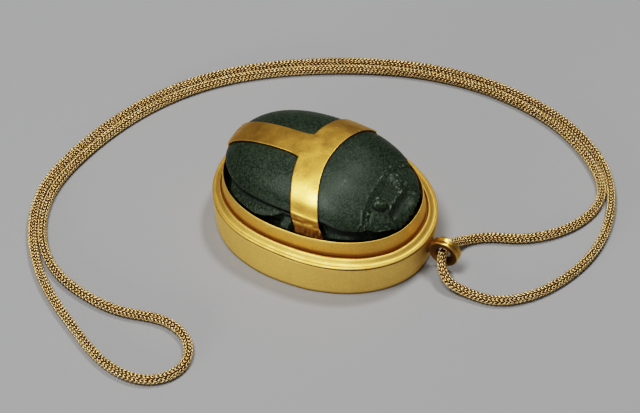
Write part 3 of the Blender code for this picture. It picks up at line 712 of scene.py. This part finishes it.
def ring_piece(name, section, node, wobble, seed, grime_and_shade):
    """A closed section carried round the setting, rippled, and stained where the ring joins it."""
    angle = full_turn(SETTING_COLUMNS)
    rows = np.array([np.stack([x, y, z + 0 * x], axis=-1) for x, y, z in section(angle)])
    outward = unit(rows * (1.0, 1.0, 0.0))
    rows = rows + outward * (wobble * ripple(rows, 11.0, 16, seed))[..., None]
    rows[..., 2] = np.maximum(rows[..., 2] + 0.3 * wobble * ripple(rows, 8.0, 16, seed + 1), 0.0)
    grime_and_shade = np.repeat(grime_and_shade, SETTING_COLUMNS)
    points = rows.reshape(-1, 3)
    joint = np.array((SETTING_LENGTH / 2, 0.0, JOINT_HEIGHT))
    stain = JOINT_STAIN * bump(np.linalg.norm(points - joint, axis=1), JOINT_REACH)
    return make_piece(name, points, tube_faces(len(rows), SETTING_COLUMNS, ring=True), node,
                      {"grime_and_shade": np.maximum(grime_and_shade, stain)})


def collar_section(angle):
    """The collar's profile round the setting: the ledge between two ovals, then the rim."""
    outer = np.array(band_oval(angle, side_pull(angle)))
    foot = np.array(rim_oval(angle, RIM_THICKNESS, RIM_LEAN_NOSE))
    for share, rise in LEDGE_PROFILE:
        yield (*(outer + (foot - outer) * share), COLLAR_BOTTOM + rise)
    for out, rise in RIM_PROFILE:
        lean = RIM_LEAN_NOSE * max(0.0, out / RIM_THICKNESS) * (1 - smooth(rise, 1.0, 6.2))
        yield (*rim_oval(angle, out, lean), COLLAR_BOTTOM + rise)


def band_section(angle):
    """The band's profile: its outside downwards, the turned-in lip and its inside."""
    for share in BAND_SHARES:
        edge = {0.0: BAND_TOP_ROUND, BAND_SHARES[1]: SEAM_NOTCH, 1.0: BAND_FOOT_ROUND}.get(share, 0)
        inset = BAND_FLARE * share + edge + side_pull(angle) * (1 - share)
        yield (*band_oval(angle, inset), BAND_HEIGHT * (1 - share))
    lip_lean = BAND_FLARE * (1 - BASE_LIP_THICKNESS / BAND_HEIGHT)
    lip = BAND_FLARE + BASE_LIP_WIDTH
    for inset, height in ((lip, 0.0), (lip, BASE_LIP_THICKNESS),
                          (lip_lean + BAND_THICKNESS, BASE_LIP_THICKNESS),
                          (BAND_THICKNESS + side_pull(angle), BAND_HEIGHT)):
        yield (*band_oval(angle, inset), height)


def collar_grime_and_shade():
    """1 in the groove at the rim's foot, as tarnish and painted shade, 0 on open gold and less where
    wear has polished it.
    """
    # Painted shade, with some tarnish: the groove, the hollow behind the lip, the seam at the
    # collar's foot, the rim's lower wall and its inner face.
    ledge = [smooth(share, 0.8, 0.87) + 0.85 * bump(share - 0.17, 0.05) + (rise < 0.08)
             - 1.6 * bump(share - 0.07, 0.05) * (rise > 0.3) for share, rise in LEDGE_PROFILE]
    return ledge + [smooth(3.4 - rise, 0.0, 1.5) if out > 0.1 else 0.6 for out, rise in RIM_PROFILE]


collar = ring_piece("gold_collar", collar_section, "stepped_collar", 0.035, 21, collar_grime_and_shade())
band = ring_piece("gold_band", band_section, "side_band", 0.045, 31, BAND_PAINTED_SHADE)

# %% [markdown]
# ## The strap
# The strap is one sheet of gold cut as a T and pressed over the stone: an arm across, and an arm
# along the back that starts from the first one's edge. Solidify gives it its thickness. Its ends
# fold over the carved edge and are crumpled where they were pushed down behind the rim.

# %% Lay the strap over the dome
STRAP_THICKNESS, STRAP_CLEARANCE, STRAP_EDGE = 0.5, 0.12, 0.17
SIDE_EDGE_SHARE, TAIL_EDGE_SHARE, STRAP_PAST_EDGE = 0.932, 0.962, 0.003
STRAP_SINK, STRAP_END_SHIFT = 0.6, 2.4
STRAP_COLUMNS, CROSS_ROWS, LENGTH_ROWS, END_ROWS = 24, 56, 56, 20
FOLD_IN, FOOT_FOLD, EARLY_OUT = 0.2, 0.4, 0.25
CRUMPLE, CRUMPLE_IN, DENT = 0.24, -0.1, 0.03


def strap_place(forward, y, drop):
    """Points of the strap: on the dome, or past its edge and down behind the rim."""
    x, z = WAIST_X + forward, dome_height(forward, y, STRAP_CLEARANCE)
    angle = np.arctan2(power(y / STONE_HALF_WIDTH, RIM_FULLNESS / 2),
                       power(forward / stone_reach(forward), RIM_FULLNESS / 2))
    foot_x, foot_y = rim_oval(angle, STRAP_CLEARANCE - STRAP_GAP)
    tail = np.abs(y) < LENGTH_WIDTH
    run_x, run_y = np.where(tail, foot_x - x, STRAP_END_SHIFT), np.where(tail, 0.0, foot_y - y)
    out = EARLY_OUT * drop + (1 - EARLY_OUT) * smooth(drop, FOOT_FOLD, 1.0)
    fold = FOLD_IN * smooth(drop, 0.0, 0.25) * smooth(drop, 1.0, 0.45)
    return np.stack([x + run_x * out - fold * tail * np.sign(x),
                     y + run_y * out - fold * ~tail * np.sign(y),
                     z + (RIM_TOP - STRAP_SINK - z) * drop], axis=-1)


def strap_run(start, end, rows):
    """From a start to just past the wing cases' edge and down: shares of the plan, and drops."""
    exponent = DOME_RISE_FULLNESS / 2
    first, last = np.arcsin(start ** exponent), math.asin((end + STRAP_PAST_EDGE) ** exponent)
    turns = first + (last - first) * np.minimum(np.arange(1, rows + END_ROWS + 1) / rows, 1.0)
    drops = np.maximum(np.arange(1 - rows, END_ROWS + 1) / END_ROWS, 0.0)
    return np.sin(turns) ** (1 / exponent), drops


def strap_grid():
    """The strap's points, the drop of each point, and its faces."""
    join_half = LENGTH_WIDTH / 2 + CORNER_FLARE
    join_share = join_half / STONE_HALF_WIDTH
    run, fall = strap_run(join_share, SIDE_EDGE_SHARE, CROSS_ROWS)
    middle = join_share * np.linspace(-1.0, 1.0, STRAP_COLUMNS + 1)
    share = np.concatenate([-run[::-1], middle, run])[:, None]
    bow = np.where(share < 0, CROSS_BOW_NEAR, CROSS_BOW_FAR) * share ** 2
    forward = CROSS_FORWARD + bow + CROSS_WIDTH * np.linspace(-0.5, 0.5, STRAP_COLUMNS + 1)
    drop = np.concatenate([fall[::-1], 0 * middle, fall])[:, None] + 0 * forward
    half = STONE_HALF_WIDTH * plan_share(forward, stone_reach(forward))
    cross = strap_place(forward, share * half, drop)

    joined = slice(len(run), len(run) + len(middle))
    start, side = cross[joined, :1, 0] - WAIST_X, cross[joined, :1, 1]
    tail_reach = STONE_BACK * plan_share(side, STONE_HALF_WIDTH)
    run, fall = strap_run(-start / tail_reach, TAIL_EDGE_SHARE, LENGTH_ROWS)
    forward = -run * tail_reach
    flare = CORNER_FLARE * np.exp((forward - start) / CORNER_FLARE_RUN)
    arm = strap_place(forward, side * (LENGTH_WIDTH / 2 + flare) / join_half, fall + 0 * forward)

    numbers = np.arange(drop.size).reshape(drop.shape)
    arm_numbers = drop.size + np.arange(forward.size).reshape(forward.shape)
    faces = []
    for grid in (numbers, np.hstack([numbers[joined, :1], arm_numbers])[:, ::-1]):
        quads = [grid[:-1, :-1], grid[:-1, 1:], grid[1:, 1:], grid[1:, :-1]]
        faces += np.stack(quads, axis=-1).reshape(-1, 4).tolist()
    points = np.concatenate([cross.reshape(-1, 3), arm.reshape(-1, 3)])
    return points, np.append(drop, fall + 0 * forward), faces


def make_strap():
    """The crumpled sheet, with modifiers that give it its thickness and rounded edges."""
    points, drops, faces = strap_grid()
    outward = unit(points - (WAIST_X, 0.0, DOME_FOOT - 10.0))
    fine = CRUMPLE * smooth(drops, 0.05, 0.35) * smooth(drops, 1.02, 0.8)
    uneven = fine * ripple(points, 2.4, 18, 5) + DENT * ripple(points, 6.0, 16, 6)
    points = points + outward * np.maximum(uneven, CRUMPLE_IN)[:, None]
    # Darker where the strap turns over the carved edge, and darker still where it goes down behind
    # the rim.
    strap = make_piece("strap_sheet", points, faces, "gold_strap",
                       {"grime_and_shade": 0.4 * smooth(drops, 0.02, 0.2) + 0.75 * smooth(drops, 0.4, 0.7)})
    up = sum(face.normal.z for face in strap.data.polygons)
    sheet = strap.modifiers.new("sheet", "SOLIDIFY")
    sheet.thickness = STRAP_THICKNESS * MM
    sheet.offset = math.copysign(1.0, up)
    edge = strap.modifiers.new("edge", "BEVEL")
    edge.width = STRAP_EDGE * MM
    edge.segments = 3
    edge.limit_method = "ANGLE"
    edge.angle_limit = math.radians(60)
    return strap


strap = make_strap()

# %% [markdown]
# ## The hanging ring
# A heavy little ring is soldered to the head end: two ridges with a groove between them, and a
# mouth that widens on both sides. It is a turned shape, so its outline is one list of radii and
# heights, carried round a circle whose axis runs across the amulet.

# %% Turn the ring
RING_RADIUS = 4.5
RING_STAND_OFF, RING_CENTRE_HEIGHT = 0.35, 7.4
RING_X = SETTING_LENGTH / 2 + RING_STAND_OFF + RING_RADIUS
RING_COLUMNS = 120
THROAT_DROP = 0.45
RING_OUTLINE = [
    (1.95, 0.0), (2.0, 0.25), (2.2, 0.55), (2.6, 0.85), (3.1, 1.1), (3.6, 1.3), (4.0, 1.42),
    (4.2, 1.45), (4.34, 1.4), (4.44, 1.27), (4.49, 1.08), (4.46, 0.86), (4.35, 0.62), (4.17, 0.4),
    (4.06, 0.18), (4.02, 0.0),
]
FOOT_RADIUS, FOOT_FLARE, FOOT_START, FOOT_SINK, FOOT_GRIME = 1.3, 1.1, 0.12, 0.9, 0.7
FOOT_ROWS, FOOT_COLUMNS = 14, 48


def make_ring():
    """The outline and its mirror image, turned round the ring's axis, darker in its mouth, as
    tarnish and a painted reflection of the dark chain, and along the groove between its ridges.
    """
    outline = np.array(RING_OUTLINE + [(r, -h) for r, h in RING_OUTLINE[-2:0:-1]])
    turn = full_turn(RING_COLUMNS)
    radius, height = outline[:, :1], outline[:, 1:]
    rows = np.stack([RING_X + radius * np.cos(turn), height + 0 * turn,
                     RING_CENTRE_HEIGHT + radius * np.sin(turn)], axis=-1)
    rows[..., 2] -= THROAT_DROP * smooth(radius, 3.6, 2.3)
    rows[..., 1] += 0.03 * ripple(rows, 4.0, 12, 41)
    outside = (radius > 4.0) & (np.abs(height) < 1.0)
    # A painted reflection of the dark chain, with tarnish, darkens the mouth; a darker line runs
    # along the groove between the ridges.
    grime_and_shade = np.where(outside, 0.5 * bump(height, 0.3), smooth(radius, 4.38, 4.1))
    return make_piece("grooved_ring", rows.reshape(-1, 3),
                      tube_faces(len(outline), RING_COLUMNS, ring=True), "hanging_ring",
                      {"grime_and_shade": np.repeat(grime_and_shade, RING_COLUMNS)})


def make_foot():
    """The short stem that joins the ring to the band, spread by solder at its foot."""
    share = np.linspace(0.0, 1.0, FOOT_ROWS)[:, None]
    turn = full_turn(FOOT_COLUMNS)
    radius = FOOT_RADIUS + FOOT_FLARE * (1 - share) ** 4 + 0 * turn
    start, end = SETTING_LENGTH / 2 + FOOT_START, RING_X - RING_RADIUS + FOOT_SINK
    rows = np.stack([start + (end - start) * share + 0 * turn, radius * np.cos(turn),
                     RING_CENTRE_HEIGHT + radius * np.sin(turn)], axis=-1)
    tips = [(x, 0, RING_CENTRE_HEIGHT) for x in (start, end)]
    points = np.concatenate([rows.reshape(-1, 3), tips])
    faces = tube_faces(FOOT_ROWS, FOOT_COLUMNS) + tip_faces(FOOT_ROWS, FOOT_COLUMNS)
    return make_piece("ring_foot", points, faces, "hanging_ring",
                      {"grime_and_shade": np.full(len(points), FOOT_GRIME)})


ring, foot = make_ring(), make_foot()

# %% [markdown]
# ## Shader maths as Python
# A material is a graph of nodes. Written by hand it is hard to read, so this small class wraps one
# output socket and lets Python's own operators add the Math nodes: `1 - mask * 0.5` is two nodes.
# Any other node comes from `node`, which takes its type, its settings and its sockets.

# %% A socket that can be calculated with
class Wire:
    """One output socket of a shader node, on which Python's operators work."""

    def __init__(self, socket):
        self.socket = socket

    def node(self, kind, settings=None, sockets=None, output=0):
        """A new node: its settings first, then the values or links of its sockets."""
        tree = self.socket.id_data
        made = tree.nodes.new(kind)
        for name, value in (settings or {}).items():
            setattr(made, name, value)
        for name, value in (sockets or {}).items():
            if isinstance(value, Wire):
                tree.links.new(value.socket, made.inputs[name])
            else:
                made.inputs[name].default_value = value
        return Wire(made.outputs[output])

    def maths(self, operation, other, swap=False):
        pair = (other, self) if swap else (self, other)
        return self.node("ShaderNodeMath", {"operation": operation}, dict(enumerate(pair)))

    __add__ = __radd__ = partialmethod(maths, "ADD")
    __mul__ = __rmul__ = partialmethod(maths, "MULTIPLY")
    __sub__, __rsub__ = partialmethod(maths, "SUBTRACT"), partialmethod(maths, "SUBTRACT", swap=True)


# %% Short words for the nodes that every finish uses
def new_material(name, **fixed):
    """A material and its shader, with the values that are the same all over."""
    material = bpy.data.materials.new(name)
    material.use_nodes = True
    shader = material.node_tree.nodes["Principled BSDF"]
    for socket, value in fixed.items():
        shader.inputs[socket.replace("_", " ")].default_value = value
    place = Wire(material.node_tree.nodes.new("ShaderNodeTexCoord").outputs["Object"])
    return material, shader, place.node("ShaderNodeVectorMath", {"operation": "SCALE"},
                                        {0: place, "Scale": 1 / MM})


def noise(place, size, detail=3.0, roughness=0.55):
    """Soft noise from 0 to 1, whose blotches are about the given size in millimetres."""
    return place.node("ShaderNodeTexNoise", None, {
        "Vector": place, "Scale": 1 / size, "Detail": detail, "Roughness": roughness})


def between(value, start, end):
    """0 below the start and 1 above the end, with an even S between."""
    return value.node("ShaderNodeMapRange", {"interpolation_type": "SMOOTHSTEP"},
                      {"Value": value, "From Min": start, "From Max": end})


def stretch(place, x, y, z):
    """The place scaled differently along each axis, which draws noise out into streaks."""
    return place.node("ShaderNodeVectorMath", {"operation": "MULTIPLY"}, {0: place, 1: (x, y, z)})


def mix(factor, first, second):
    """A colour between two colours."""
    first, second = (c if isinstance(c, Wire) else (*c, 1.0) for c in (first, second))
    return factor.node("ShaderNodeMix", {"data_type": "RGBA"},
                       {"Factor": factor, 6: first, 7: second}, output=2)


def mark(place, name):
    """A value that was stored on the mesh's points."""
    return place.node("ShaderNodeAttribute", {"attribute_name": name}, output="Fac")


def finish(shader, colour, roughness, height, distance):
    """Join the colour, the roughness and a bump of a real height, in millimetres."""
    tree = shader.id_data
    tree.links.new(colour.socket, shader.inputs["Base Color"])
    tree.links.new(roughness.socket, shader.inputs["Roughness"])
    relief = height.node("ShaderNodeBump", None,
                         {"Height": height, "Distance": distance * MM, "Strength": 1.0})
    tree.links.new(relief.socket, shader.inputs["Normal"])


# %% [markdown]
# ## Green stone
# The stone is dark and fine-grained, with paler and blacker flecks and slow clouds of a greyer
# green. Handling has left a soft sheen, and pale scuffs on the head's raised lines. The scuffs
# and the painted shade come from the marks that the carving stored on the mesh.

# %% Stone finish
RELIEF = 0.05


def stone_material():
    """Dark ground with clouds and flecks, then painted shade, then scuffs broken up into scratches.
    """
    material, shader, place = new_material("green_stone", Metallic=0.0, IOR=1.5,
                                           Specular_IOR_Level=0.3,
                                           Specular_Tint=(0.9, 1.0, 0.92, 1.0))
    clouds = between(noise(place, 9.0, 4.0), 0.35, 0.68)
    flecks = between(noise(place, 0.6, 4.0, 0.75), 0.4, 0.66)
    dark = between(noise(place, 1.3, 3.0, 0.6), 0.56, 0.7)
    scratches = between(noise(stretch(place, 1.0, 0.35, 0.6), 0.55, 4.0, 0.7), 0.48, 0.62)
    scuff = mark(place, "scuff") * scratches
    painted_shade = mark(place, "painted_shade")
    ground = mix(clouds, (0.009, 0.015, 0.009), (0.016, 0.024, 0.015))
    ground = mix(flecks * 0.75, ground, (0.046, 0.06, 0.037))
    ground = mix(dark * 0.6, ground, (0.004, 0.008, 0.004))
    # Painted shade: the stone goes darker in carved hollows, on the sunk side and along the strap's
    # seams.
    ground = mix(painted_shade * 0.8, ground, (0.005, 0.007, 0.003))
    colour = mix(between(scuff, 0.12, 0.6) * 0.75, ground, (0.19, 0.22, 0.16))
    roughness = 0.38 + 0.1 * flecks + 0.2 * painted_shade + 0.1 * scuff
    height = flecks * 0.35 + noise(place, 0.35, 2.0) * 0.3 + scuff * 0.8
    finish(shader, colour, roughness, height, RELIEF)
    return material


stone.data.materials.append(stone_material())
print("stone finish:", len(stone.data.materials[0].node_tree.nodes), "nodes")

# %% [markdown]
# ## Gold
# Old gold is satin and faintly uneven, with tiny pits, and tarnish turns its grooves orange-brown;
# the same darker colour is also painted in as shade in grooves, seams and hollows. A metal shows
# what it reflects, so most of the look is the base colour and the roughness, and each piece has its
# own: the band is dullest, and palest as painted light on its upright wall, the strap redder and
# the ring polished by the chain. The pits are the narrow centres of large noise cells.

# %% Gold finish
PITS_PER_MM = 0.22


def gold_material(name, metallic, light, deep, rough):
    """Clean gold with a fine grain, a darker colour where tarnish and painted shade are marked, and
    pits.
    """
    material, shader, place = new_material(name, Metallic=metallic)
    clouds = between(noise(place, 6.0, 4.0), 0.3, 0.7)
    brushed = noise(stretch(place, 0.25, 0.25, 2.0), 0.9, 3.0)
    cells = place.node("ShaderNodeTexVoronoi", None, {"Vector": place, "Scale": PITS_PER_MM})
    specks = 1 - between(cells, 0.02, 0.06)
    grime_and_shade = mark(place, "grime_and_shade")
    grain = noise(place, 0.4, 2.0, 0.7)
    colour = mix(clouds, light, tuple(0.9 * c for c in light))
    colour = mix(between(grain, 0.35, 0.65) * 0.4, colour, tuple(0.6 * c for c in light))
    # Tarnish and painted shade: the darker colour wherever the mark on the mesh is high.
    colour = mix(grime_and_shade * 0.85, colour, deep)
    colour = mix(specks * 0.85, colour, (0.09, 0.045, 0.012))
    roughness = rough + 0.1 * clouds + 0.1 * brushed + 0.12 * grime_and_shade
    height = noise(place, 2.2, 3.0) + brushed * 0.15 + grain * 0.3 - specks * 1.5
    finish(shader, colour, roughness, height, RELIEF)
    return material


for piece, *look in (
        (collar, "collar_gold", 1.0, (0.9, 0.57, 0.155), (0.26, 0.12, 0.03), 0.44),
        # Painted light: the band's paler base colour brightens its upright wall.
        (band, "matt_gold", 0.8, (1.0, 0.66, 0.2), (0.06, 0.028, 0.008), 0.46),
        (strap, "red_gold", 1.0, (0.87, 0.49, 0.112), (0.13, 0.056, 0.013), 0.31),
        (ring, "ring_gold", 1.0, (0.78, 0.49, 0.13), (0.07, 0.028, 0.008), 0.24),
        (foot, "dark_gold", 1.0, (0.6, 0.36, 0.1), (0.09, 0.04, 0.01), 0.4)):
    gold = gold_material(*look)
    piece.data.materials.append(gold)


def chain_material():
    """Old gold wire, with painted shade: brown-black deep in the weave and on the core, between the
    loops.
    """
    material, shader, place = new_material("chain_gold", Metallic=0.9)
    # Painted shade by depth: the deeper a point lies in the weave, the darker it is; the crests of
    # the wires stay bright.
    out = between(mark(place, "out"), 0.96, 1.24)
    worn = noise(place, 3.0, 3.0)
    colour = mix(out, (0.1, 0.05, 0.018), mix(worn, (1.0, 0.78, 0.42), (0.97, 0.66, 0.3)))
    finish(shader, colour, 0.44 - 0.14 * out + 0.1 * worn, noise(place, 0.6), 0.02)
    return material


chain.data.materials.append(chain_material())
print("gold finish:", len(gold.node_tree.nodes), "nodes")

# %% [markdown]
# ## Floor and light
# The floor is plain pale grey. Three soft lamps light the amulet: the key lamp overhead gives the
# strap its pale patch and the dome its soft sheen, a smaller one overhead and behind brightens
# the top, and a low one in front lifts the upright gold. An even grey world fills the rest, so
# that the gold has something to reflect. The Filmic view with high contrast keeps gold yellow
# where it is bright and lets it go brown where it is dark, as a photograph does.

# %% Set up the studio
FLOOR_HALF, FLOOR_GAP = 1.5, 0.05 * MM
WORLD_STRENGTH, EXPOSURE = 0.17, -0.35


def studio():
    """The floor, the grey world and the way that light is turned into picture colours."""
    material, _, _ = new_material("floor", Roughness=0.9, Base_Color=(0.29, 0.29, 0.292, 1.0))
    mesh = bpy.data.meshes.new("floor")
    mesh.from_pydata([(x * FLOOR_HALF, y * FLOOR_HALF, -FLOOR_GAP)
                      for x, y in ((-1, -1), (1, -1), (1, 1), (-1, 1))], [], [(0, 1, 2, 3)])
    mesh.materials.append(material)
    floor = new_object("floor", mesh)
    world = bpy.data.worlds.new("studio")
    world.use_nodes = True
    background = world.node_tree.nodes["Background"]
    background.inputs["Color"].default_value = (0.8, 0.8, 0.82, 1.0)
    background.inputs["Strength"].default_value = WORLD_STRENGTH
    bpy.context.scene.world = world
    view = bpy.context.scene.view_settings
    view.view_transform, view.look, view.exposure = "Filmic", "High Contrast", EXPOSURE


def lamp(name, place, width, depth, watts):
    """A soft rectangular lamp aimed at the amulet."""
    data = bpy.data.lights.new(name, "AREA")
    data.shape = "RECTANGLE"
    data.size, data.size_y = width, depth
    data.energy = watts
    lit = new_object(name, data)
    lit.location = place
    lit.rotation_euler = Vector(place).to_track_quat("Z", "Y").to_euler()


studio()
lamp("key", (-0.11, -0.24, 0.9), 0.24, 0.34, 7.4)
lamp("back", (0.1, 0.37, 0.9), 0.17, 0.17, 5.0)
lamp("front", (-0.15, -0.95, 0.16), 0.5, 0.2, 3.9)
